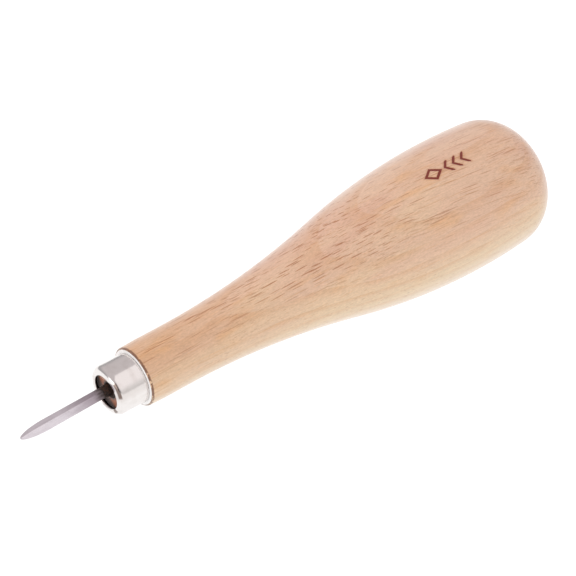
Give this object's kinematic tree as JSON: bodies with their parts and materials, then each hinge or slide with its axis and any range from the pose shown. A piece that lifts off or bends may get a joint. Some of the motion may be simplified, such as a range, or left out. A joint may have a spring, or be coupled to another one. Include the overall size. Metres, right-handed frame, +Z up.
{
  "type": "lino cutter",
  "caption": "Palm-handled cutting tool: a slim diamond-section steel blade in a plated ferrule on a turned beech handle with a pear-shaped grip.",
  "frame": {"origin": "on the surface that the tool lies on, under the middle of its length", "axes": "+X from the blade tip towards the palm end, +Z up; the tool's own axis lies in the XZ plane and drops 6.3 degrees towards the blade, because the tool lies on its belly and its shoulder"},
  "size_m": [0.1473, 0.033, 0.0347],
  "materials": {
    "beech": "fine sanded turned beech with no stain, short brown flecks along the grain",
    "plated_steel": "bright nickel plate on drawn steel",
    "blade_steel": "ground steel, darkened by forging near its root",
    "adhesive": "cured dark brown adhesive"
  },
  "bodies": {
    "root": {"handle": "beech", "ferrule": "plated_steel", "blade": "blade_steel", "tang_adhesive": "adhesive"}
  },
  "joints": []
}
